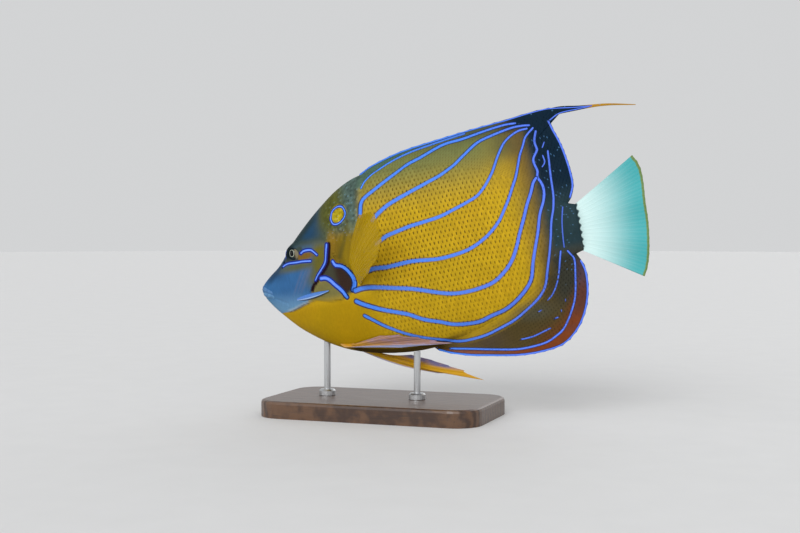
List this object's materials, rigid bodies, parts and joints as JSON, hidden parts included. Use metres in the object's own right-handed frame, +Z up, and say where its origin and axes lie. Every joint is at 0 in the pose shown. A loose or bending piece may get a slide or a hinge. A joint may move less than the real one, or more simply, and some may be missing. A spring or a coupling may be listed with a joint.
{
  "type": "ring angelfish model",
  "caption": "Deep-bodied angelfish with a long trailing back fin, held level on two short rods over a flat base.",
  "frame": {"origin": "centre of the underside of the stand's base", "axes": "+X from the head to the tail, +Y to the fish's right side, +Z up"},
  "size_m": [0.3321, 0.1504, 0.2533],
  "materials": {
    "head_skin": "satin",
    "body_skin": "satin",
    "tail_root_skin": "satin",
    "tail_fin": "satin",
    "pelvic_fin": "satin",
    "pectoral_fin": "satin",
    "median_fin": "satin",
    "eye": "polished",
    "stand_wood": "satin varnish",
    "stand_steel": "brushed"
  },
  "bodies": {
    "root": {"head": "head_skin", "trunk": "body_skin", "tail_stalk": "tail_root_skin", "eye_left": "eye", "eye_right": "eye", "dorsal_fin": "median_fin", "anal_fin": "median_fin", "caudal_fin": "tail_fin", "pectoral_fin_left": "pectoral_fin", "pectoral_fin_right": "pectoral_fin", "pelvic_fin_left": "pelvic_fin", "pelvic_fin_right": "pelvic_fin", "stand_base": "stand_wood", "stand_rod_front": "stand_steel", "stand_rod_back": "stand_steel"}
  },
  "joints": []
}
